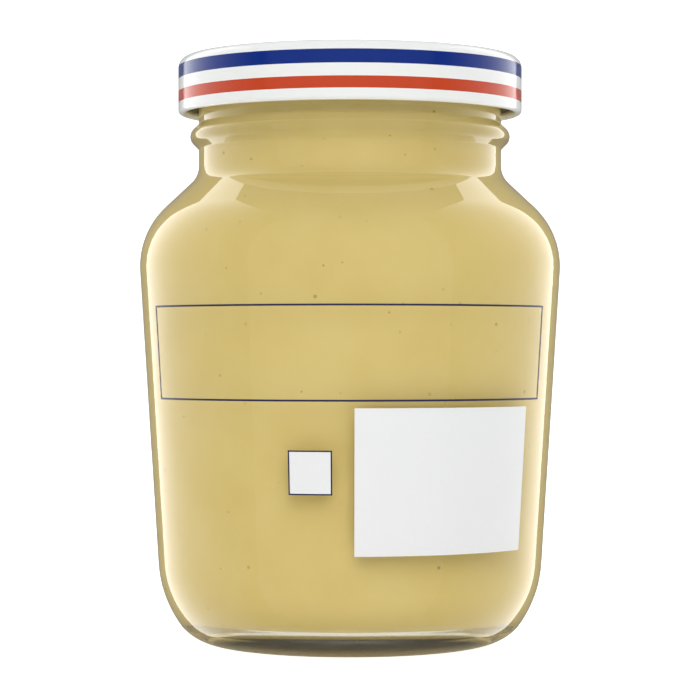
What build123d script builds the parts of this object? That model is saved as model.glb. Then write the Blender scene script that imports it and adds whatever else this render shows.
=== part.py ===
from build123d import *
import math
import os

# A glass jar of smooth mustard, shut with a printed steel twist-off cap.
# Millimetres, +Z up, origin on the floor under the middle of the foot.
# Everything but the print is a solid of revolution about Z, so most sizes are
# (radius, height) pairs. The printed side of the jar faces -Y.

# ---- Glass jar, outside -------------------------------------------------
WALL = 3.0                # glass thickness of the body, shoulder and neck
BODY_RADIUS = 34.54       # sharp corner where the body and shoulder lines meet
SHOULDER_HEIGHT = 66.63   # height of that corner
BODY_LEAN = 3.59          # degrees that the body widens upwards from the vertical
SHOULDER_LEAN = -46.7     # degrees that the shoulder closes in from the vertical
SHOULDER_ROUND = 13.1
NECK_RADIUS = 24.63
NECK_ROUND = 3.9          # hollow curve from the shoulder into the neck
HEEL_HEIGHT = 13.1        # where the straight body ends and the heel begins
HEEL_ROUND = 18.95
SEAM_HEIGHT = 2.8         # line between the body mould and the base plate
SEAM_STEP = 0.15          # ledge left by that line
FOOT_ROUND = 8.9          # curve under the seam, down to the resting ring
FOOT_RING = 0.8           # width of the flat ring that the jar stands on

# ---- Glass jar, underside and floor -------------------------------------
PUSH_UP_LIP = 0.9         # steep edge of the hollow under the base
PUSH_UP_RISE = 1.2        # further rise of its dome to the middle
FLOOR_HEIGHT = 4.5        # top of the glass base, inside
FLOOR_ROUND = 7.0         # inside curve between floor and wall

# ---- Glass jar, neck finish ---------------------------------------------
BEAD_ABOVE_NECK = 6.39    # middle of the transfer bead above the neck corner
BEAD_PROUD = 1.4          # how far the bead stands out of the neck
BEAD_CROWN = 1.6          # radius of the bead's round crown
BEAD_FILLET = 0.5
RIM_ABOVE_BEAD = 12.7
RIM_ROUND = 0.8

# ---- Mustard ------------------------------------------------------------
HEADSPACE = 3.8           # air between the mustard and the rim

# ---- Twist-off cap ------------------------------------------------------
SHEET = 0.25              # tinplate thickness
SKIRT_GAP = 3.09          # from the plain neck out to the inside of the skirt
CAP_HEIGHT = 9.3
CAP_ROUND = 1.8
CURL_RADIUS = 0.65        # rolled edge at the bottom of the skirt
PANEL_DROP = 0.45         # how far the middle of the top lies below its border
PANEL_CLEARANCE = 0.9     # from the dropped panel's wall to the inside of the neck
PANEL_ROUND = 0.6

# ---- Print on the jar: heights, and degrees from -Y towards +X ----------
INK = 0.06                # thickness of the printed pieces
PANEL_LOW, PANEL_HIGH = 16.4, 38.9
PANEL_FROM, PANEL_TO = 1.2, 57.0
SQUARE_LOW, SQUARE_HIGH = 25.7, 32.5
SQUARE_FROM, SQUARE_TO = -16.9, -4.8
SQUARE_LINE = 0.22
FRAME_LOW, FRAME_HIGH = 39.9, 54.7
FRAME_FROM, FRAME_TO = -65.1, 64.0
FRAME_LINE = 0.30


# ---- Straight walls and their corners -----------------------------------
def wall_radius(wall, height):
    """Radius, at a height, of a straight wall given as (radius, height, lean)."""
    return wall[0] + (height - wall[1]) * math.tan(math.radians(wall[2]))


def inset(wall, depth):
    """The same wall moved inwards by a thickness measured square to it."""
    return (wall[0] - depth / math.cos(math.radians(wall[2])), wall[1], wall[2])


def crossing(lower, upper):
    """Corner (radius, height) where two straight walls meet."""
    slope_low = math.tan(math.radians(lower[2]))
    slope_up = math.tan(math.radians(upper[2]))
    start = lower[0] - lower[1] * slope_low
    end = upper[0] - upper[1] * slope_up
    height = (end - start) / (slope_low - slope_up)
    return (wall_radius(lower, height), height)


BODY = (BODY_RADIUS, SHOULDER_HEIGHT, BODY_LEAN)
SHOULDER = (BODY_RADIUS, SHOULDER_HEIGHT, SHOULDER_LEAN)
NECK = (NECK_RADIUS, SHOULDER_HEIGHT, 0.0)
NECK_CORNER = crossing(SHOULDER, NECK)

BEAD_HEIGHT = NECK_CORNER[1] + BEAD_ABOVE_NECK
RIM_HEIGHT = BEAD_HEIGHT + RIM_ABOVE_BEAD
BORE_RADIUS = NECK_RADIUS - WALL
FILL_HEIGHT = RIM_HEIGHT - HEADSPACE

CAP_RADIUS = NECK_RADIUS + SKIRT_GAP + SHEET
CAP_TOP = RIM_HEIGHT + SHEET
CAP_BOTTOM = CAP_TOP - CAP_HEIGHT


# ---- Outlines, as lists of edges in (radius, height) --------------------
def foot_outline():
    """From the middle of the underside out to the foot of the straight body."""
    lean = math.radians(BODY_LEAN)
    heel_end = (wall_radius(BODY, HEEL_HEIGHT), HEEL_HEIGHT)
    heel_centre = (heel_end[0] - HEEL_ROUND * math.cos(lean), HEEL_HEIGHT + HEEL_ROUND * math.sin(lean))
    drop = math.asin((heel_centre[1] - SEAM_HEIGHT) / HEEL_ROUND)
    halfway = (drop + lean) / 2

    def on_heel(angle):
        return (heel_centre[0] + HEEL_ROUND * math.cos(angle), heel_centre[1] - HEEL_ROUND * math.sin(angle))

    seam = on_heel(drop)
    ledge = (seam[0] - SEAM_STEP, seam[1] - SEAM_STEP)
    sweep = math.acos(1 - ledge[1] / FOOT_ROUND)
    foot_centre = ledge[0] - FOOT_ROUND * math.sin(sweep)

    def on_foot(angle):
        return (foot_centre + FOOT_ROUND * math.sin(angle), FOOT_ROUND * (1 - math.cos(angle)))

    ring_inside = (foot_centre - FOOT_RING, 0.0)
    lip = (ring_inside[0] - PUSH_UP_LIP, PUSH_UP_LIP)
    dome_top = (0.0, PUSH_UP_LIP + PUSH_UP_RISE)
    dome_radius = (lip[0] ** 2 + PUSH_UP_RISE ** 2) / (2 * PUSH_UP_RISE)
    dome_half = math.asin(lip[0] / dome_radius) / 2
    dome_middle = (dome_radius * math.sin(dome_half), dome_top[1] - dome_radius * (1 - math.cos(dome_half)))
    return [
        ThreePointArc(dome_top, dome_middle, lip),
        Line(lip, ring_inside),
        Line(ring_inside, on_foot(0.0)),
        ThreePointArc(on_foot(0.0), on_foot(sweep / 2), ledge),
        Line(ledge, seam),
        ThreePointArc(seam, on_heel(halfway), heel_end),
    ]


def bead_corners():
    """Sharp corners of the bead, a 45 degree ridge before its rounding."""
    reach = BEAD_PROUD + BEAD_CROWN * (math.sqrt(2) - 1)
    crest = (NECK_RADIUS + reach, BEAD_HEIGHT)
    return [(NECK_RADIUS, BEAD_HEIGHT - reach), crest, (NECK_RADIUS, BEAD_HEIGHT + reach)]


def cavity_corners():
    """Sharp corners inside the jar, from the neck down to the middle of the floor."""
    body, shoulder, neck = inset(BODY, WALL), inset(SHOULDER, WALL), inset(NECK, WALL)
    return [
        crossing(shoulder, neck),
        crossing(body, shoulder),
        (wall_radius(body, FLOOR_HEIGHT), FLOOR_HEIGHT),
        (0.0, FLOOR_HEIGHT),
    ]


CAVITY_ROUNDS = [NECK_ROUND + WALL, SHOULDER_ROUND - WALL, FLOOR_ROUND]


def turned(edges):
    """Solid of revolution about Z from a closed outline of edges."""
    return revolve(Plane.XZ * make_face(edges), axis=Axis.Z)


# ---- Pieces -------------------------------------------------------------
def make_jar():
    foot = foot_outline()
    heel_end = (wall_radius(BODY, HEEL_HEIGHT), HEEL_HEIGHT)
    outside = [heel_end, (BODY_RADIUS, SHOULDER_HEIGHT), NECK_CORNER, *bead_corners()]
    rim = [(NECK_RADIUS, RIM_HEIGHT), (BORE_RADIUS, RIM_HEIGHT)]
    rounds = [SHOULDER_ROUND, NECK_ROUND, BEAD_FILLET, BEAD_CROWN, BEAD_FILLET, RIM_ROUND, RIM_ROUND]
    wall = FilletPolyline(*outside, *rim, *cavity_corners(), radius=rounds + CAVITY_ROUNDS)
    axis_line = Line((0.0, FLOOR_HEIGHT), (0.0, PUSH_UP_LIP + PUSH_UP_RISE))
    return turned([*foot, wall, axis_line])


def make_mustard():
    surface = (BORE_RADIUS, FILL_HEIGHT)
    side = FilletPolyline(surface, *cavity_corners(), radius=CAVITY_ROUNDS)
    closing = Polyline((0.0, FLOOR_HEIGHT), (0.0, FILL_HEIGHT), surface)
    return turned([side, closing])


def make_lid():
    step = BORE_RADIUS - PANEL_CLEARANCE - PANEL_DROP
    panel_top = CAP_TOP - PANEL_DROP
    curl = (CAP_RADIUS - CURL_RADIUS, CAP_BOTTOM + CURL_RADIUS)
    outside = FilletPolyline(
        (0.0, panel_top), (step, panel_top), (step + PANEL_DROP, CAP_TOP), (CAP_RADIUS, CAP_TOP),
        (CAP_RADIUS, curl[1]),
        radius=[PANEL_ROUND + SHEET, PANEL_ROUND, CAP_ROUND])
    shift = SHEET * math.tan(math.radians(22.5))
    inside = FilletPolyline(
        (0.0, panel_top - SHEET), (step + shift, panel_top - SHEET), (step + PANEL_DROP + shift, RIM_HEIGHT),
        (CAP_RADIUS - SHEET, RIM_HEIGHT), (CAP_RADIUS - SHEET, curl[1]),
        radius=[PANEL_ROUND, PANEL_ROUND + SHEET, CAP_ROUND - SHEET])
    ends = [Line((0.0, panel_top), (0.0, panel_top - SHEET)),
            Line((CAP_RADIUS, curl[1]), (CAP_RADIUS - SHEET, curl[1]))]
    section = make_face([outside, inside, *ends]) + Pos(*curl) * Circle(CURL_RADIUS)
    return revolve(Plane.XZ * section, axis=Axis.Z)


def print_field(low, high, start, end):
    """A thin field lying on the tapered body between two heights and two angles."""
    corners = [(wall_radius(BODY, low), low), (wall_radius(BODY, low) + INK, low),
               (wall_radius(BODY, high) + INK, high), (wall_radius(BODY, high), high)]
    section = Plane.XZ * make_face(Polyline(*corners, close=True))
    return Rot(0, 0, start - 90) * revolve(section, axis=Axis.Z, revolution_arc=end - start)


def inner_field(low, high, start, end, line):
    """What a rule of a given line width leaves free inside its own limits."""
    turn = math.degrees(line / wall_radius(BODY, (low + high) / 2))
    return print_field(low + line, high - line, start + turn, end - turn)


def print_rule(low, high, start, end, line):
    """A plain rectangle of even line width on the body."""
    return print_field(low, high, start, end) - inner_field(low, high, start, end, line)


PIECES = {
    "jar": make_jar(),
    "mustard": make_mustard(),
    "lid": make_lid(),
    "label_panel": print_field(PANEL_LOW, PANEL_HIGH, PANEL_FROM, PANEL_TO),
    "label_square": inner_field(SQUARE_LOW, SQUARE_HIGH, SQUARE_FROM, SQUARE_TO, SQUARE_LINE),
    "label_square_rule": print_rule(SQUARE_LOW, SQUARE_HIGH, SQUARE_FROM, SQUARE_TO, SQUARE_LINE),
    "label_frame": print_rule(FRAME_LOW, FRAME_HIGH, FRAME_FROM, FRAME_TO, FRAME_LINE),
}

os.makedirs("parts", exist_ok=True)
for node, shape in PIECES.items():
    export_step(shape, f"parts/{node}.step")
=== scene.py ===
"""Looks for a glass jar of mustard with a striped steel cap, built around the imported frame."""

import math

import bmesh  # noqa: E402
import bpy  # noqa: E402
from bpy.props import FloatProperty, FloatVectorProperty, PointerProperty  # noqa: E402
from mathutils import Matrix, Vector  # noqa: E402


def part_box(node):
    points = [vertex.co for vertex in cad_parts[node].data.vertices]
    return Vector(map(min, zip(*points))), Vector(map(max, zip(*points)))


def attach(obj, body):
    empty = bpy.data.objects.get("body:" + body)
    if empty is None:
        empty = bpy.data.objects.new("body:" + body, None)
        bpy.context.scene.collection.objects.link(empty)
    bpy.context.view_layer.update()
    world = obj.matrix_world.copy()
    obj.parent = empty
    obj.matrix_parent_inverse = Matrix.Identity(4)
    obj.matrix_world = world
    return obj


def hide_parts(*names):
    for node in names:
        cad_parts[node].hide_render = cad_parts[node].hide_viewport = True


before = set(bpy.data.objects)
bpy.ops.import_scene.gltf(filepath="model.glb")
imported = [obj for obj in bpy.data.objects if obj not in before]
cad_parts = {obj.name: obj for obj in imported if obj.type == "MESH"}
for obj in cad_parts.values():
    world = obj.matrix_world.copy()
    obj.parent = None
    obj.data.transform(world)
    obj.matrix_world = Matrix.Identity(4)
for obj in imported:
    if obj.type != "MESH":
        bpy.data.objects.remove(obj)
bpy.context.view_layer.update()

bl_info = {
    "name": "Mustard Jar",
    "version": (1, 0, 0),
    "blender": (4, 5, 0),
    "location": "3D View > Sidebar > Mustard Jar",
    "description": "Builds a glass jar of mustard with its cap, its blank print and a plain studio",
    "category": "Add Mesh",
}

BODY = "root"
SEGMENTS = 192            # faces round every turned piece
ARC_STEP = math.radians(3.5)    # longest turn of one straight bit of an arc
RULE_RISE = 1.2           # ink of the square's rule over that of the fields
LINED, WHITE, BLUE, RED = 3, 0, 1, 2    # the cap's materials
RIM_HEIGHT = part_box("jar")[1].z
FLOOR_HEIGHT, FILL_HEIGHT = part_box("mustard")[0].z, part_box("mustard")[1].z
CAP_LOW, CAP_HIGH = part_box("lid")
AXIS_Z = Vector((0, 0, 1))


# ---- Properties ----------------------------------------------------------
def length(name, description, default):
    return FloatProperty(name=name, description=description, default=default, unit="LENGTH",
                         subtype="DISTANCE", precision=5)


def angle(name, description, degrees):
    return FloatProperty(name=name, description=description, default=math.radians(degrees),
                         subtype="ANGLE", unit="ROTATION")


def colour(name, description, default):
    return FloatVectorProperty(name=name, description=description, default=default, size=3,
                               min=0.0, max=1.0, subtype="COLOR")


class JarSettings(bpy.types.PropertyGroup):
    """Glass jar."""
    wall: length("Wall", "Thickness of the glass", 0.003)
    body_radius: length("Body Radius", "Radius of the sharp corner of body and shoulder", 0.03454)
    shoulder_height: length("Shoulder Height", "Height of that corner", 0.06663)
    body_lean: angle("Body Lean", "How far the body widens upwards", 3.59)
    shoulder_lean: angle("Shoulder Lean", "How far the shoulder closes in", -46.7)
    shoulder_round: length("Shoulder Round", "Radius of the shoulder's curve", 0.0131)
    neck_radius: length("Neck Radius", "Outer radius of the neck", 0.02463)
    neck_round: length("Neck Round", "Hollow curve into the neck", 0.0039)
    heel_height: length("Heel Height", "Where the straight body ends", 0.0131)
    heel_round: length("Heel Round", "Radius of the heel", 0.01895)
    seam_height: length("Seam Height", "Height of the mould line", 0.0028)
    seam_step: length("Seam Step", "Ledge at the mould line", 0.00015)
    foot_round: length("Foot Round", "Curve down to the resting ring", 0.0089)
    foot_ring: length("Foot Ring", "Width of the resting ring", 0.0008)
    push_up_lip: length("Push-up Lip", "Steep edge under the base", 0.0009)
    push_up_rise: length("Push-up Rise", "Rise of the dome under the base", 0.0012)
    floor_round: length("Floor Round", "Inside curve of the base", 0.007)
    bead_above_neck: length("Bead Above Neck", "Bead's middle above the neck corner", 0.00639)
    bead_proud: length("Bead Proud", "How far the bead stands out", 0.0014)
    bead_crown: length("Bead Crown", "Radius of the bead's crown", 0.0016)
    bead_fillet: length("Bead Fillet", "Hollow curves beside the bead", 0.0005)
    rim_round: length("Rim Round", "Rounding of the rim", 0.0008)
    tint: colour("Tint", "Colour of the clear glass", (0.985, 0.99, 0.975))


class MustardSettings(bpy.types.PropertyGroup):
    """Mustard."""
    paste: colour("Paste", "Main colour", (0.715, 0.548, 0.195))
    pale: colour("Pale Cloud", "Lighter clouds in the paste", (0.74, 0.577, 0.222))
    speck: colour("Speck", "Bran specks", (0.28, 0.19, 0.07))
    reach: length("Reach", "How far the paste goes into the wall, so that no air shows", 0.00006)


class CapSettings(bpy.types.PropertyGroup):
    """Twist-off cap."""
    sheet: length("Sheet", "Tinplate thickness", 0.00025)
    corner: length("Corner", "Rounding of the top edge", 0.0018)
    curl: length("Curl", "Radius of the rolled edge", 0.00065)
    panel_drop: length("Panel Drop", "Drop of the middle of the top", 0.00045)
    panel_clearance: length("Panel Clearance", "From the drop to the inside of the neck", 0.0009)
    panel_round: length("Panel Round", "Rounding of the drop", 0.0006)
    blue_low: length("Blue Low", "Blue stripe's lower edge above the cap's foot", 0.0056)
    blue_high: length("Blue High", "Blue stripe's upper edge above the cap's foot", 0.00775)
    red_low: length("Red Low", "Red stripe's lower edge above the cap's foot", 0.00177)
    red_high: length("Red High", "Red stripe's upper edge above the cap's foot", 0.00363)
    white: colour("White", "White enamel", (0.86, 0.875, 0.86))
    blue: colour("Blue", "Blue stripe", (0.006, 0.028, 0.22))
    red: colour("Red", "Red stripe", (0.57, 0.065, 0.022))
    lacquer: colour("Lacquer", "Inside of the cap", (0.30, 0.31, 0.25))


class PrintSettings(bpy.types.PropertyGroup):
    """Blank print on the body."""
    ink: length("Ink", "Thickness of the print", 0.00006)
    panel_from: angle("Panel From", "Left edge, from the printed side's middle", 1.2)
    panel_to: angle("Panel To", "Right edge", 57.0)
    square_from: angle("Square From", "Left edge", -16.9)
    square_to: angle("Square To", "Right edge", -4.8)
    frame_from: angle("Frame From", "Left edge", -65.1)
    frame_to: angle("Frame To", "Right edge", 64.0)
    frame_line: length("Frame Line", "Width of the frame's rule", 0.0003)
    square_line: length("Square Line", "Width of the square's rule", 0.00022)
    white: colour("White", "White ink", (0.84, 0.85, 0.85))
    navy: colour("Navy", "Navy ink", (0.012, 0.014, 0.085))


class StageSettings(bpy.types.PropertyGroup):
    """Plain studio."""
    distance: length("Camera Distance", "From the camera to the jar's middle", 0.430)
    eye_height: length("Camera Height", "Height of the camera", 0.0477)
    lens: FloatProperty(name="Lens", description="Focal length in millimetres", default=135.46, min=10.0)
    floor: colour("Floor", "Floor and backdrop", (0.93, 0.93, 0.93))
    front_power: FloatProperty(name="Front Power", description="Watts of the front lamp",
                               default=10.4, min=0.0)
    overhead_power: FloatProperty(name="Overhead Power", description="Watts of the overhead lamp",
                                  default=11.0, min=0.0)
    side_glow: FloatProperty(name="Side Glow", default=2.7, min=0.0,
                             description="Brightness of the side panels at their far edge")
    air: colour("Air", "Colour of the surroundings in reflections", (0.22, 0.22, 0.22))


# ---- Outlines and solids -------------------------------------------------
def wall_radius(wall, height):
    """Radius, at a height, of a straight wall given as (radius, height, lean)."""
    return wall[0] + (height - wall[1]) * math.tan(wall[2])


def inset(wall, depth):
    """The same wall moved inwards, measured square to it."""
    return (wall[0] - depth / math.cos(wall[2]), wall[1], wall[2])


def crossing(lower, upper):
    """Corner (radius, height) where two straight walls meet."""
    slope_low, slope_up = math.tan(lower[2]), math.tan(upper[2])
    start, end = lower[0] - lower[1] * slope_low, upper[0] - upper[1] * slope_up
    height = (end - start) / (slope_low - slope_up)
    return (wall_radius(lower, height), height)


def only_verts(items):
    """The vertices among an operator's returned items."""
    return [item for item in items if isinstance(item, bmesh.types.BMVert)]


class Outline:
    """A chain of edges in the XZ half-plane, drawn from its tip with straight runs and arcs."""

    def __init__(self, start):
        self.bm = bmesh.new()
        self.tip = self.bm.verts.new((start[0], 0.0, start[1]))

    def run_to(self, point):
        """A straight run to a point (radius, height)."""
        place = Vector((point[0], 0.0, point[1]))
        if (place - self.tip.co).length < 1e-7:
            return
        made = bmesh.ops.extrude_vert_indiv(self.bm, verts=[self.tip])["verts"][0]
        made.co = place
        self.tip = made

    def arc_about(self, centre, turn):
        """An arc about (radius, height); a positive turn goes from +X towards +Z."""
        steps = max(4, math.ceil(abs(turn) / ARC_STEP))
        spun = bmesh.ops.spin(self.bm, geom=[self.tip], cent=(centre[0], 0.0, centre[1]),
                              axis=(0.0, -1.0, 0.0), angle=turn, steps=steps, dvec=(0.0, 0.0, 0.0))
        self.tip = only_verts(spun["geom_last"])[0]

    def through(self, corners, rounds):
        """Straight runs through corners, each rounded by its radius; the last corner stays sharp."""
        for index, radius in enumerate(rounds):
            corner = Vector((corners[index][0], 0.0, corners[index][1]))
            after = Vector((corners[index + 1][0], 0.0, corners[index + 1][1]))
            back, ahead = (self.tip.co - corner).normalized(), (after - corner).normalized()
            turn = math.pi - back.angle(ahead)
            start = corner + back * radius * math.tan(turn / 2)
            centre = corner + (back + ahead).normalized() * radius / math.cos(turn / 2)
            self.run_to((start.x, start.z))
            towards_up = back.cross(ahead).y > 0
            self.arc_about((centre.x, centre.z), turn if towards_up else -turn)
        self.run_to(corners[len(rounds)])

    def close(self):
        """Joins the tip back to the first vertex."""
        self.bm.verts.ensure_lookup_table()
        self.bm.edges.new((self.tip, self.bm.verts[0]))


def finish_mesh(bm, name, smooth_angle=math.radians(30)):
    """Merges doubles, turns faces outwards and makes the object, smooth but for its sharp edges."""
    bmesh.ops.remove_doubles(bm, verts=bm.verts, dist=1e-7)
    bmesh.ops.dissolve_degenerate(bm, edges=bm.edges, dist=1e-8)
    bmesh.ops.recalc_face_normals(bm, faces=bm.faces)
    for face in bm.faces:
        face.smooth = True
    for edge in bm.edges:
        edge.smooth = edge.calc_face_angle(0.0) < smooth_angle
    mesh = bpy.data.meshes.new(name)
    bm.to_mesh(mesh)
    bm.free()
    piece = bpy.data.objects.new(name, mesh)
    bpy.context.scene.collection.objects.link(piece)
    return piece


def turned(outline):
    """Spins an outline's bmesh into a solid of revolution."""
    bm = outline.bm
    bmesh.ops.spin(bm, geom=bm.verts[:] + bm.edges[:], cent=(0.0, 0.0, 0.0), axis=AXIS_Z,
                   angle=2 * math.pi, steps=SEGMENTS, use_merge=True)
    return bm


def body_wall(jar):
    return (jar.body_radius, jar.shoulder_height, jar.body_lean)


def cavity_corners(jar, depth):
    """Corners inside the jar at a depth from its outside, from the neck to the middle of the floor."""
    body = inset(body_wall(jar), depth)
    shoulder = inset((jar.body_radius, jar.shoulder_height, jar.shoulder_lean), depth)
    neck = (jar.neck_radius - depth, jar.shoulder_height, 0.0)
    floor = FLOOR_HEIGHT + depth - jar.wall
    return [crossing(shoulder, neck), crossing(body, shoulder), (wall_radius(body, floor), floor), (0.0, floor)]


def cavity_rounds(jar, depth):
    more = jar.wall - depth
    return [jar.neck_round + depth, jar.shoulder_round - depth, jar.floor_round + more]


def jar_outline(jar):
    """Closed outline of the glass: underside, foot, heel, body, shoulder, neck, bead, rim and inside."""
    lean = jar.body_lean
    heel_end = Vector((wall_radius(body_wall(jar), jar.heel_height), jar.heel_height))
    heel_centre = heel_end + jar.heel_round * Vector((-math.cos(lean), math.sin(lean)))
    drop = math.asin((heel_centre.y - jar.seam_height) / jar.heel_round)
    seam = heel_centre + jar.heel_round * Vector((math.cos(drop), -math.sin(drop)))
    ledge = seam - Vector((jar.seam_step, jar.seam_step))
    sweep = math.acos(1 - ledge.y / jar.foot_round)
    foot_centre = ledge.x - jar.foot_round * math.sin(sweep)
    lip_radius = foot_centre - jar.foot_ring - jar.push_up_lip
    dome_radius = (lip_radius ** 2 + jar.push_up_rise ** 2) / (2 * jar.push_up_rise)
    dome_top = jar.push_up_lip + jar.push_up_rise

    outline = Outline((0.0, dome_top))
    outline.arc_about((0.0, dome_top - dome_radius), -math.asin(lip_radius / dome_radius))
    outline.run_to((foot_centre - jar.foot_ring, 0.0))
    outline.run_to((foot_centre, 0.0))
    outline.arc_about((foot_centre, jar.foot_round), sweep)
    outline.run_to(seam)
    outline.arc_about(heel_centre, drop - lean)

    neck_wall = (jar.neck_radius, jar.shoulder_height, 0.0)
    shoulder_wall = (jar.body_radius, jar.shoulder_height, jar.shoulder_lean)
    neck_corner = crossing(shoulder_wall, neck_wall)
    bead_height = neck_corner[1] + jar.bead_above_neck
    reach = jar.bead_proud + jar.bead_crown * (math.sqrt(2) - 1)
    corners = [
        (jar.body_radius, jar.shoulder_height), neck_corner,
        (jar.neck_radius, bead_height - reach), (jar.neck_radius + reach, bead_height),
        (jar.neck_radius, bead_height + reach), (jar.neck_radius, RIM_HEIGHT),
        (jar.neck_radius - jar.wall, RIM_HEIGHT), *cavity_corners(jar, jar.wall),
    ]
    rounds = [jar.shoulder_round, jar.neck_round, jar.bead_fillet, jar.bead_crown, jar.bead_fillet,
              jar.rim_round, jar.rim_round, *cavity_rounds(jar, jar.wall)]
    outline.through(corners, rounds)
    outline.close()
    return outline


def mustard_outline(jar, reach):
    """Closed outline of the paste, reaching just into the glass."""
    depth = jar.wall - reach
    outline = Outline((0.0, FILL_HEIGHT))
    outline.run_to((jar.neck_radius - depth, FILL_HEIGHT))
    outline.through(cavity_corners(jar, depth), cavity_rounds(jar, depth))
    outline.close()
    return outline


def cap_outline(jar, cap):
    """Closed outline of the pressed tinplate, with its rolled edge as a bead of its own."""
    radius, top, foot = CAP_HIGH.x, CAP_HIGH.z, CAP_LOW.z
    step = jar.neck_radius - jar.wall - cap.panel_clearance - cap.panel_drop
    panel_top = top - cap.panel_drop
    curl_height = foot + cap.curl
    shift = cap.sheet * math.tan(math.radians(22.5))
    outline = Outline((0.0, panel_top))
    outline.through([(step, panel_top), (step + cap.panel_drop, top), (radius, top), (radius, curl_height)],
                    [cap.panel_round + cap.sheet, cap.panel_round, cap.corner])
    outline.arc_about((radius - cap.curl, curl_height), -math.radians(240))
    outline.run_to((radius - cap.sheet, curl_height + cap.curl * 1.2))
    inner = top - cap.sheet
    outline.through([(radius - cap.sheet, inner), (step + cap.panel_drop + shift, inner),
                     (step + shift, panel_top - cap.sheet), (0.0, panel_top - cap.sheet)],
                    [cap.corner - cap.sheet, cap.panel_round + cap.sheet, cap.panel_round])
    outline.close()
    return outline


# ---- Materials -----------------------------------------------------------
def material(name):
    """A new material with its Principled node."""
    made = bpy.data.materials.new(name)
    made.use_nodes = True
    nodes = made.node_tree.nodes
    return made, made.node_tree, nodes["Principled BSDF"], nodes["Material Output"]


def object_place(tree):
    return tree.nodes.new("ShaderNodeTexCoord").outputs["Object"]


def ripple_group():
    """Fine unevenness of a surface, shared by glass, enamel and ink: a height and a soft mask."""
    if "fine_unevenness" in bpy.data.node_groups:
        return bpy.data.node_groups["fine_unevenness"]
    group = bpy.data.node_groups.new("fine_unevenness", "ShaderNodeTree")
    group.interface.new_socket("Vector", in_out="INPUT", socket_type="NodeSocketVector")
    group.interface.new_socket("Scale", in_out="INPUT", socket_type="NodeSocketFloat")
    group.interface.new_socket("Low", in_out="INPUT", socket_type="NodeSocketFloat")
    group.interface.new_socket("High", in_out="INPUT", socket_type="NodeSocketFloat")
    group.interface.new_socket("Height", in_out="OUTPUT", socket_type="NodeSocketFloat")
    group.interface.new_socket("Level", in_out="OUTPUT", socket_type="NodeSocketFloat")
    given = group.nodes.new("NodeGroupInput")
    put_out = group.nodes.new("NodeGroupOutput")
    noise = group.nodes.new("ShaderNodeTexNoise")
    noise.inputs["Detail"].default_value = 3.0
    level = group.nodes.new("ShaderNodeMapRange")
    level.inputs["From Min"].default_value = 0.3
    level.inputs["From Max"].default_value = 0.7
    link = group.links.new
    link(given.outputs["Vector"], noise.inputs["Vector"])
    link(given.outputs["Scale"], noise.inputs["Scale"])
    link(noise.outputs["Fac"], level.inputs["Value"])
    link(given.outputs["Low"], level.inputs["To Min"])
    link(given.outputs["High"], level.inputs["To Max"])
    link(noise.outputs["Fac"], put_out.inputs["Height"])
    link(level.outputs["Result"], put_out.inputs["Level"])
    return group


def uneven(tree, shader, scale, low, high, depth):
    """Gives a shader fine unevenness: roughness from low to high, and a bump of a depth in metres."""
    group = tree.nodes.new("ShaderNodeGroup")
    group.node_tree = ripple_group()
    group.inputs["Scale"].default_value = scale
    group.inputs["Low"].default_value = low
    group.inputs["High"].default_value = high
    tree.links.new(object_place(tree), group.inputs["Vector"])
    tree.links.new(group.outputs["Level"], shader.inputs["Roughness"])
    bump = tree.nodes.new("ShaderNodeBump")
    bump.inputs["Strength"].default_value = 1.0
    bump.inputs["Distance"].default_value = depth
    tree.links.new(group.outputs["Height"], bump.inputs["Height"])
    tree.links.new(bump.outputs["Normal"], shader.inputs["Normal"])
    return group


def glass_material(tint):
    """Clear glass that lets the lamps' light straight through to the paste."""
    made, tree, shader, output = material("clear_glass")
    shader.inputs["Base Color"].default_value = (*tint, 1.0)
    shader.inputs["Transmission Weight"].default_value = 1.0
    shader.inputs["IOR"].default_value = 1.52
    uneven(tree, shader, scale=60.0, low=0.0, high=0.012, depth=0.00001)
    rays = tree.nodes.new("ShaderNodeLightPath")
    either = tree.nodes.new("ShaderNodeMath")
    either.operation = "MAXIMUM"
    clear = tree.nodes.new("ShaderNodeBsdfTransparent")
    clear.inputs["Color"].default_value = (0.93, 0.94, 0.92, 1.0)
    mix = tree.nodes.new("ShaderNodeMixShader")
    tree.links.new(rays.outputs["Is Shadow Ray"], either.inputs[0])
    tree.links.new(rays.outputs["Is Diffuse Ray"], either.inputs[1])
    tree.links.new(either.outputs["Value"], mix.inputs["Fac"])
    tree.links.new(shader.outputs["BSDF"], mix.inputs[1])
    tree.links.new(clear.outputs["BSDF"], mix.inputs[2])
    tree.links.new(mix.outputs["Shader"], output.inputs["Surface"])
    return made


def mix_colour(tree, factor, first, second):
    """A colour mixed by a factor socket; either colour may be a socket or plain values."""
    mix = tree.nodes.new("ShaderNodeMix")
    mix.data_type = "RGBA"
    tree.links.new(factor, mix.inputs["Factor"])
    for socket, value in ((mix.inputs[6], first), (mix.inputs[7], second)):
        if isinstance(value, bpy.types.NodeSocket):
            tree.links.new(value, socket)
        else:
            socket.default_value = (*value, 1.0)
    return mix.outputs[2]


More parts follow.
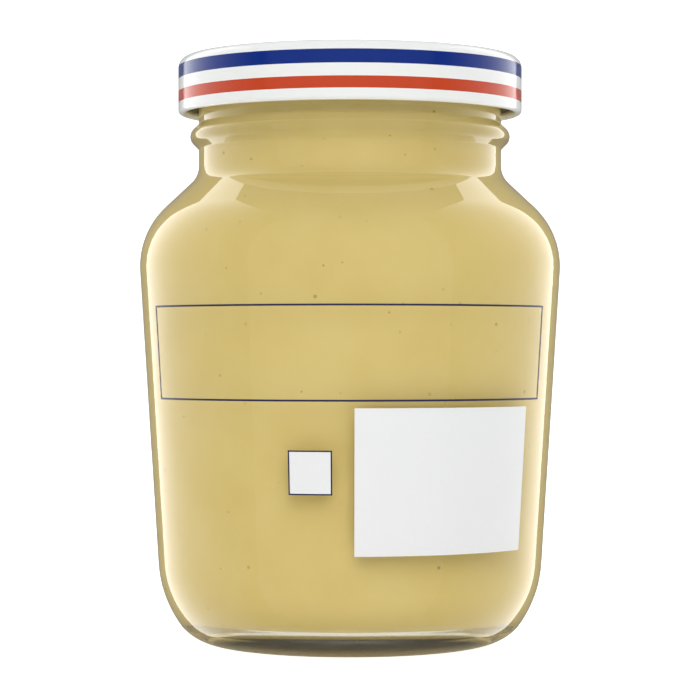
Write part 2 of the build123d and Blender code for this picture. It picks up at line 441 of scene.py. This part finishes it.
def speck_mask(tree, cell, size, kept_share):
    """Round specks of a radius (size), in a share of the cells of a width (cell), in metres."""
    cells = tree.nodes.new("ShaderNodeTexVoronoi")
    cells.inputs["Scale"].default_value = 1.0 / cell
    tree.links.new(object_place(tree), cells.inputs["Vector"])
    near = tree.nodes.new("ShaderNodeMapRange")
    near.interpolation_type = "SMOOTHSTEP"
    near.inputs["From Min"].default_value = size / cell
    near.inputs["From Max"].default_value = 0.35 * size / cell
    tree.links.new(cells.outputs["Distance"], near.inputs["Value"])
    pick = tree.nodes.new("ShaderNodeSeparateColor")
    tree.links.new(cells.outputs["Color"], pick.inputs["Color"])
    kept = tree.nodes.new("ShaderNodeMapRange")
    kept.inputs["From Min"].default_value = 1.0 - kept_share
    kept.inputs["From Max"].default_value = 1.0 - kept_share / 2
    kept.inputs["To Min"].default_value = 0.0
    kept.inputs["To Max"].default_value = 0.6
    tree.links.new(pick.outputs["Red"], kept.inputs["Value"])
    both = tree.nodes.new("ShaderNodeMath")
    both.operation = "MULTIPLY"
    tree.links.new(near.outputs["Result"], both.inputs[0])
    tree.links.new(kept.outputs["Result"], both.inputs[1])
    return both.outputs["Value"]


def mustard_material(look):
    """Smooth paste pressed on glass: faint clouds, fine grain and a few bran specks."""
    made, tree, shader, output = material("mustard_paste")
    shader.inputs["Specular IOR Level"].default_value = 0.0
    group = uneven(tree, shader, scale=900.0, low=0.45, high=0.6, depth=0.000002)
    clouds = tree.nodes.new("ShaderNodeTexNoise")
    clouds.inputs["Scale"].default_value = 95.0
    clouds.inputs["Detail"].default_value = 5.0
    tree.links.new(object_place(tree), clouds.inputs["Vector"])
    spread = tree.nodes.new("ShaderNodeMapRange")
    spread.inputs["From Min"].default_value = 0.35
    spread.inputs["From Max"].default_value = 0.65
    tree.links.new(clouds.outputs["Fac"], spread.inputs["Value"])
    base = mix_colour(tree, spread.outputs["Result"], look.paste, look.pale)
    soft = tree.nodes.new("ShaderNodeMath")
    soft.operation = "MULTIPLY"
    soft.inputs[1].default_value = 0.04
    tree.links.new(group.outputs["Height"], soft.inputs[0])
    grained = mix_colour(tree, soft.outputs["Value"], base, look.speck)
    large = speck_mask(tree, cell=0.0045, size=0.00040, kept_share=0.50)
    small = speck_mask(tree, cell=0.0030, size=0.00024, kept_share=0.60)
    with_large = mix_colour(tree, large, grained, look.speck)
    with_small = mix_colour(tree, small, with_large, look.speck)
    tree.links.new(with_small, shader.inputs["Base Color"])
    # Rays meeting the floor's paste at a low angle turn back, so the thick base looks clear.
    edge = tree.nodes.new("ShaderNodeFresnel")
    edge.inputs["IOR"].default_value = 0.84
    split = tree.nodes.new("ShaderNodeSeparateXYZ")
    tree.links.new(object_place(tree), split.inputs["Vector"])
    low = tree.nodes.new("ShaderNodeMapRange")
    low.interpolation_type = "SMOOTHSTEP"
    low.inputs["From Min"].default_value = FLOOR_HEIGHT + 0.0015
    low.inputs["From Max"].default_value = FLOOR_HEIGHT + 0.006
    low.inputs["To Min"].default_value = 1.0
    low.inputs["To Max"].default_value = 0.15
    tree.links.new(split.outputs["Z"], low.inputs["Value"])
    share_low = tree.nodes.new("ShaderNodeMath")
    share_low.operation = "MULTIPLY"
    tree.links.new(edge.outputs["Fac"], share_low.inputs[0])
    tree.links.new(low.outputs["Result"], share_low.inputs[1])
    mirror = tree.nodes.new("ShaderNodeBsdfGlossy")
    mirror.inputs["Roughness"].default_value = 0.18
    mirror.inputs["Color"].default_value = (0.95, 0.95, 0.93, 1.0)
    mix = tree.nodes.new("ShaderNodeMixShader")
    tree.links.new(share_low.outputs["Value"], mix.inputs["Fac"])
    tree.links.new(shader.outputs["BSDF"], mix.inputs[1])
    tree.links.new(mirror.outputs["BSDF"], mix.inputs[2])
    tree.links.new(mix.outputs["Shader"], output.inputs["Surface"])
    return made


def enamel_material(name, base, worn):
    """Baked enamel on tinplate: gloss with a faint orange-peel and a slightly uneven colour."""
    made, tree, shader, _ = material(name)
    group = uneven(tree, shader, scale=700.0, low=0.10, high=0.17, depth=0.000003)
    shader.inputs["IOR"].default_value = 1.5
    tree.links.new(mix_colour(tree, group.outputs["Height"], base, worn), shader.inputs["Base Color"])
    return made


def ink_material(name, base, worn):
    """Satin printing ink with a fine screen grain."""
    made, tree, shader, _ = material(name)
    group = uneven(tree, shader, scale=2500.0, low=0.32, high=0.45, depth=0.000002)
    tree.links.new(mix_colour(tree, group.outputs["Height"], base, worn), shader.inputs["Base Color"])
    return made


def darker(base, by):
    return tuple(channel * by for channel in base)


# ---- Pieces --------------------------------------------------------------
def place(piece, slot, *nodes):
    """Rides a piece on the jar's one body and hides the CAD nodes it stands for. The slot is not used."""
    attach(piece, BODY)
    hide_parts(*nodes)


def print_field(jar, ink, low, high, start, end):
    """A thin closed field lying on the tapered body between two heights and two angles."""
    wall = body_wall(jar)
    bm = bmesh.new()
    bottom = bm.verts.new((wall_radius(wall, low) + ink, 0.0, low))
    top = bm.verts.new((wall_radius(wall, high) + ink, 0.0, high))
    edge = bm.edges.new((bottom, top))
    bmesh.ops.rotate(bm, verts=bm.verts[:], cent=(0, 0, 0),
                     matrix=Matrix.Rotation(start - math.pi / 2, 3, "Z"))
    steps = max(1, round((end - start) / (2 * math.pi) * SEGMENTS * 2))
    bmesh.ops.spin(bm, geom=[bottom, top, edge], cent=(0, 0, 0), axis=AXIS_Z,
                   angle=end - start, steps=steps)
    bmesh.ops.recalc_face_normals(bm, faces=bm.faces)
    face = bm.faces[:][0]
    middle = face.calc_center_median()
    if face.normal.dot(Vector((middle.x, middle.y, 0.0))) < 0:
        bmesh.ops.reverse_faces(bm, faces=bm.faces)
    thick = bmesh.ops.extrude_face_region(bm, geom=bm.faces[:])
    for vert in only_verts(thick["geom"]):
        outward = Vector((vert.co.x, vert.co.y, 0.0))
        vert.co -= outward.normalized() * ink
    return bm


def rule_bmesh(jar, ink, low, high, start, end, line):
    """Four thin strips that make a plain rectangle on the body."""
    turn = line / wall_radius(body_wall(jar), (low + high) / 2)
    joined = bmesh.new()
    strips = [(low, low + line, start, end), (high - line, high, start, end),
              (low + line, high - line, start, start + turn), (low + line, high - line, end - turn, end)]
    for strip in strips:
        part = print_field(jar, ink, *strip)
        mesh = bpy.data.meshes.new("strip")
        part.to_mesh(mesh)
        part.free()
        joined.from_mesh(mesh)
        bpy.data.meshes.remove(mesh)
    return joined


class MUSTARDJAR_OT_glass(bpy.types.Operator):
    """Turn the clear glass jar"""
    bl_idname = "mustardjar.glass"
    bl_label = "Glass Jar"

    def execute(self, context):
        jar = context.scene.mustard_jar
        piece = finish_mesh(turned(jar_outline(jar)), "glass_jar")
        piece.data.materials.append(glass_material(jar.tint))
        place(piece, "glass", "jar")
        return {"FINISHED"}


class MUSTARDJAR_OT_mustard(bpy.types.Operator):
    """Fill the jar with mustard"""
    bl_idname = "mustardjar.mustard"
    bl_label = "Mustard"

    def execute(self, context):
        scene = context.scene
        outline = mustard_outline(scene.mustard_jar, scene.mustard_paste.reach)
        piece = finish_mesh(turned(outline), "mustard_fill")
        piece.data.materials.append(mustard_material(scene.mustard_paste))
        place(piece, "mustard", "mustard")
        return {"FINISHED"}


class MUSTARDJAR_OT_cap(bpy.types.Operator):
    """Press the cap, with its stripes and its lacquered inside"""
    bl_idname = "mustardjar.cap"
    bl_label = "Cap"

    def execute(self, context):
        cap = context.scene.mustard_cap
        bm = turned(cap_outline(context.scene.mustard_jar, cap))
        bmesh.ops.remove_doubles(bm, verts=bm.verts, dist=1e-7)
        bmesh.ops.recalc_face_normals(bm, faces=bm.faces)
        foot = CAP_LOW.z
        for height in (cap.red_low, cap.red_high, cap.blue_low, cap.blue_high):
            bmesh.ops.bisect_plane(bm, geom=bm.verts[:] + bm.edges[:] + bm.faces[:], dist=1e-8,
                                   plane_co=(0.0, 0.0, foot + height), plane_no=AXIS_Z)
        skirt = CAP_HIGH.x - cap.sheet / 2
        for face in bm.faces:
            middle = face.calc_center_median()
            radius, height = math.hypot(middle.x, middle.y), middle.z - foot
            outward = face.normal.dot(Vector((middle.x, middle.y, 0.0)).normalized()) > -0.02
            outside = (radius > skirt - cap.corner and outward) or face.normal.z > 0.05
            face.material_index = LINED
            if outside or height < 1.3 * cap.curl:
                face.material_index = WHITE
            if outside and cap.red_low < height < cap.red_high:
                face.material_index = RED
            if outside and cap.blue_low < height < cap.blue_high:
                face.material_index = BLUE
        piece = finish_mesh(bm, "twist_cap")
        piece.data.materials.append(enamel_material("white_enamel", cap.white, darker(cap.white, 0.97)))
        piece.data.materials.append(enamel_material("blue_enamel", cap.blue, darker(cap.blue, 0.9)))
        piece.data.materials.append(enamel_material("red_enamel", cap.red, darker(cap.red, 0.92)))
        piece.data.materials.append(ink_material("cap_lacquer", cap.lacquer, darker(cap.lacquer, 0.85)))
        place(piece, "cap_enamel", "lid")
        return {"FINISHED"}


class MUSTARDJAR_OT_print(bpy.types.Operator):
    """Lay the blank printed fields and rules on the glass"""
    bl_idname = "mustardjar.print"
    bl_label = "Print"

    def execute(self, context):
        jar, look = context.scene.mustard_jar, context.scene.mustard_print
        white = ink_material("white_ink", look.white, darker(look.white, 0.96))
        navy = ink_material("navy_ink", look.navy, darker(look.navy, 0.8))

        def heights(node):
            low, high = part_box(node)
            return low.z, high.z

        panel, square = (look.panel_from, look.panel_to), (look.square_from, look.square_to)
        outer = (look.frame_from, look.frame_to)
        fields = {
            "print_panel": print_field(jar, look.ink, *heights("label_panel"), *panel),
            "print_square": print_field(jar, look.ink, *heights("label_square"), *square),
        }
        rules = {
            "print_square_rule": rule_bmesh(jar, look.ink * RULE_RISE, *heights("label_square_rule"),
                                            *square, look.square_line),
            "print_frame": rule_bmesh(jar, look.ink, *heights("label_frame"), *outer, look.frame_line),
        }
        for name, bm in {**fields, **rules}.items():
            piece = finish_mesh(bm, name)
            is_field = name in fields
            piece.data.materials.append(white if is_field else navy)
            place(piece, "white_print" if is_field else "navy_print", name.replace("print_", "label_"))
        return {"FINISHED"}


# ---- Stage ---------------------------------------------------------------
def stage_sweep(tint):
    """A floor that curves up into a backdrop, pale and even."""
    outline = Outline((-2.0, 0.0))
    outline.run_to((1.2, 0.0))
    outline.arc_about((1.2, 0.6), math.pi / 2)
    outline.run_to((1.8, 3.0))
    bm = outline.bm
    made = bmesh.ops.extrude_edge_only(bm, edges=bm.edges[:])
    bmesh.ops.translate(bm, verts=only_verts(made["geom"]), vec=(0.0, 5.0, 0.0))
    bmesh.ops.translate(bm, verts=bm.verts[:], vec=(0.0, -2.5, 0.0))
    bmesh.ops.rotate(bm, verts=bm.verts[:], cent=(0, 0, 0), matrix=Matrix.Rotation(math.pi / 2, 3, "Z"))
    piece = finish_mesh(bm, "studio_sweep")
    made, tree, shader, _ = material("studio_paper")
    group = uneven(tree, shader, scale=30.0, low=0.8, high=0.9, depth=0.00001)
    tree.links.new(mix_colour(tree, group.outputs["Height"], tint, darker(tint, 0.99)),
                   shader.inputs["Base Color"])
    shader.inputs["Emission Color"].default_value = (1.0, 1.0, 1.0, 1.0)
    rays = tree.nodes.new("ShaderNodeLightPath")
    glow = tree.nodes.new("ShaderNodeMapRange")
    glow.inputs["To Min"].default_value = 0.12
    glow.inputs["To Max"].default_value = 0.62
    seen = tree.nodes.new("ShaderNodeMath")
    seen.operation = "MULTIPLY_ADD"
    seen.inputs[1].default_value = 0.6
    tree.links.new(rays.outputs["Is Transmission Ray"], seen.inputs[0])
    tree.links.new(rays.outputs["Is Camera Ray"], seen.inputs[2])
    tree.links.new(seen.outputs["Value"], glow.inputs["Value"])
    tree.links.new(glow.outputs["Result"], shader.inputs["Emission Strength"])
    piece.data.materials.append(made)
    piece.visible_glossy = False
    return piece


def side_panel(name, side, glow):
    """A tall panel that lights the jar's side and shows only in it, brightest at its far edge."""
    bm = bmesh.new()
    bmesh.ops.create_grid(bm, x_segments=8, y_segments=8, size=0.5)
    bmesh.ops.rotate(bm, verts=bm.verts[:], cent=(0, 0, 0), matrix=Matrix.Rotation(math.pi / 2, 3, "Y"))
    bmesh.ops.scale(bm, verts=bm.verts[:], vec=(1.0, 1.06, 1.5))
    bmesh.ops.translate(bm, verts=bm.verts[:], vec=(0.5 * side, 0.18, 0.15))
    piece = finish_mesh(bm, name)
    made, tree, shader, output = material(name)
    tree.nodes.remove(shader)
    glowing = tree.nodes.new("ShaderNodeEmission")
    split = tree.nodes.new("ShaderNodeSeparateXYZ")
    fade = tree.nodes.new("ShaderNodeMapRange")
    fade.interpolation_type = "SMOOTHSTEP"
    fade.inputs["From Min"].default_value = -0.35
    fade.inputs["From Max"].default_value = 0.71
    fade.inputs["To Max"].default_value = glow
    tree.links.new(object_place(tree), split.inputs["Vector"])
    tree.links.new(split.outputs["Y"], fade.inputs["Value"])
    tree.links.new(fade.outputs["Result"], glowing.inputs["Strength"])
    tree.links.new(glowing.outputs["Emission"], output.inputs["Surface"])
    piece.data.materials.append(made)
    piece.visible_camera = piece.visible_transmission = False
    piece.visible_shadow = False


def soft_light(name, place_at, target, size, energy):
    """A large square lamp that is not itself seen through the glass."""
    data = bpy.data.lights.new(name, "AREA")
    data.shape = "SQUARE"
    data.size = size
    data.energy = energy
    lamp = bpy.data.objects.new(name, data)
    lamp.location = place_at
    lamp.rotation_euler = (Vector(target) - Vector(place_at)).to_track_quat("-Z", "Y").to_euler()
    lamp.visible_camera = lamp.visible_transmission = False
    bpy.context.scene.collection.objects.link(lamp)
    return lamp


class MUSTARDJAR_OT_stage(bpy.types.Operator):
    """Set up the floor, the lamps, the side panels and the camera"""
    bl_idname = "mustardjar.stage"
    bl_label = "Studio"

    def execute(self, context):
        look = context.scene.mustard_stage
        stage_sweep(look.floor)
        for name, side in (("panel_left", -1), ("panel_right", 1)):
            side_panel(name, side, look.side_glow)
        middle = (0.0, 0.0, RIM_HEIGHT / 2)
        front = soft_light("front_lamp", (0.0, -1.1, 0.75), middle, 1.1,
                           look.front_power)
        overhead = soft_light("overhead_lamp", (0.0, 0.4, 1.6), (0.0, 0.5, 0.0), 2.0,
                              look.overhead_power)
        front.visible_glossy = overhead.visible_glossy = False
        world = bpy.data.worlds.new("studio_air")
        context.scene.world = world
        world.use_nodes = True
        world.node_tree.nodes["Background"].inputs["Color"].default_value = (*look.air, 1.0)
        data = bpy.data.cameras.new("camera")
        data.sensor_width = 36.0
        data.lens = look.lens
        data.clip_start = 0.01
        camera = bpy.data.objects.new("camera", data)
        camera.location = (0.0, -look.distance, look.eye_height)
        camera.rotation_euler = (math.pi / 2, 0.0, 0.0)
        context.scene.collection.objects.link(camera)
        context.scene.camera = camera
        context.scene.view_settings.view_transform = "Standard"
        return {"FINISHED"}


class MUSTARDJAR_PT_panel(bpy.types.Panel):
    """Lists the jar's pieces and their settings"""
    bl_label = "Mustard Jar"
    bl_idname = "MUSTARDJAR_PT_panel"
    bl_space_type = "VIEW_3D"
    bl_region_type = "UI"
    bl_category = "Mustard Jar"

    def draw(self, context):
        for operator in OPERATORS:
            self.layout.operator(operator.bl_idname)
        for name in SETTINGS:
            box = self.layout.box()
            settings = getattr(context.scene, name)
            for key in settings.bl_rna.properties.keys():
                if key not in ("rna_type", "name"):
                    box.prop(settings, key)


SETTINGS = {"mustard_jar": JarSettings, "mustard_paste": MustardSettings, "mustard_cap": CapSettings,
            "mustard_print": PrintSettings, "mustard_stage": StageSettings}
OPERATORS = (MUSTARDJAR_OT_glass, MUSTARDJAR_OT_mustard, MUSTARDJAR_OT_cap, MUSTARDJAR_OT_print,
             MUSTARDJAR_OT_stage)


def register():
    for kind in (*SETTINGS.values(), *OPERATORS, MUSTARDJAR_PT_panel):
        bpy.utils.register_class(kind)
    for name, kind in SETTINGS.items():
        setattr(bpy.types.Scene, name, PointerProperty(type=kind))


def unregister():
    for name in SETTINGS:
        delattr(bpy.types.Scene, name)
    for kind in reversed((*SETTINGS.values(), *OPERATORS, MUSTARDJAR_PT_panel)):
        bpy.utils.unregister_class(kind)


def main():
    register()
    bpy.ops.mustardjar.glass()
    bpy.ops.mustardjar.mustard()
    bpy.ops.mustardjar.cap()
    bpy.ops.mustardjar.print()
    bpy.ops.mustardjar.stage()


if __name__ == "__main__":
    main()
